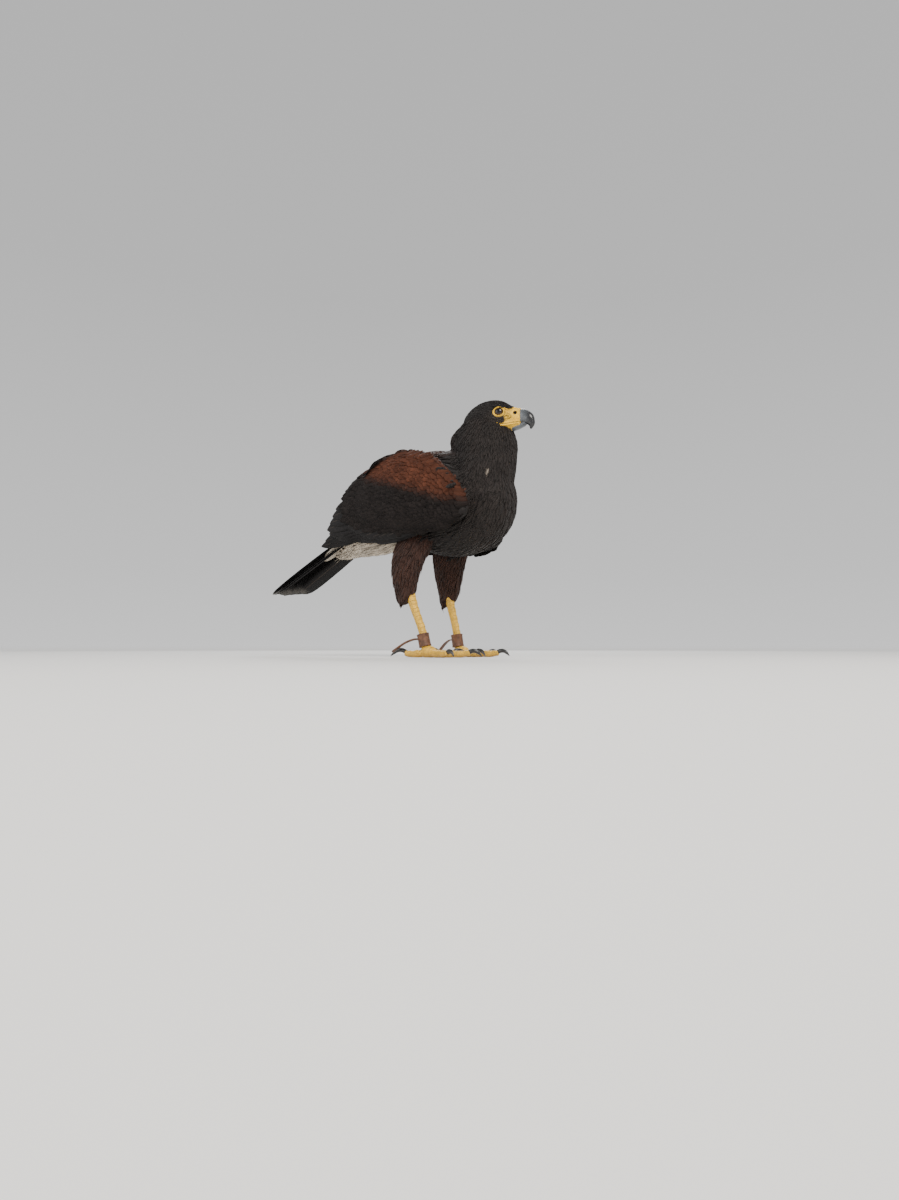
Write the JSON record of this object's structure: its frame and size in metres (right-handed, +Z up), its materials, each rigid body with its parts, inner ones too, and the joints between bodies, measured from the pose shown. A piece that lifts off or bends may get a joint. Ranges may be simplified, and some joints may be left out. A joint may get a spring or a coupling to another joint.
{
  "type": "harris hawk figure",
  "caption": "Life-size hawk standing on both feet, wings folded, neck stretched up, leather bands on its legs.",
  "frame": {"origin": "on the floor under the middle of the bird's bounding box", "axes": "+X the way the bird faces, +Y its left side, +Z up"},
  "size_m": [0.3882, 0.1314, 0.3022],
  "materials": {
    "feathers_dark": "matt blackish-brown feathers",
    "feathers_rufous": "matt chestnut feathers",
    "feathers_pale": "soft off-white feathers",
    "feathers_tail": "dark feathers with a low sheen",
    "yellow_skin": "bare scaled skin",
    "horn": "polished grey horn",
    "claw_horn": "polished black horn",
    "eye": "wet dark brown eye",
    "leather": "soft greased leather"
  },
  "bodies": {
    "root": {"eye_right": "eye", "eye_left": "eye", "head": "feathers_dark", "cere": "yellow_skin", "bill_upper": "horn", "bill_lower": "horn", "neck": "feathers_dark", "torso": "feathers_dark", "rump": "feathers_pale", "tail": "feathers_tail", "wing_right": "feathers_rufous", "wing_left": "feathers_rufous", "thigh_right": "feathers_rufous", "foot_right": "yellow_skin", "tarsus_right": "yellow_skin", "claw_1_right": "claw_horn", "claw_2_right": "claw_horn", "claw_3_right": "claw_horn", "claw_4_right": "claw_horn", "anklet_right": "leather", "thigh_left": "feathers_rufous", "foot_left": "yellow_skin", "tarsus_left": "yellow_skin", "claw_1_left": "claw_horn", "claw_2_left": "claw_horn", "claw_3_left": "claw_horn", "claw_4_left": "claw_horn", "anklet_left": "leather"}
  },
  "joints": []
}
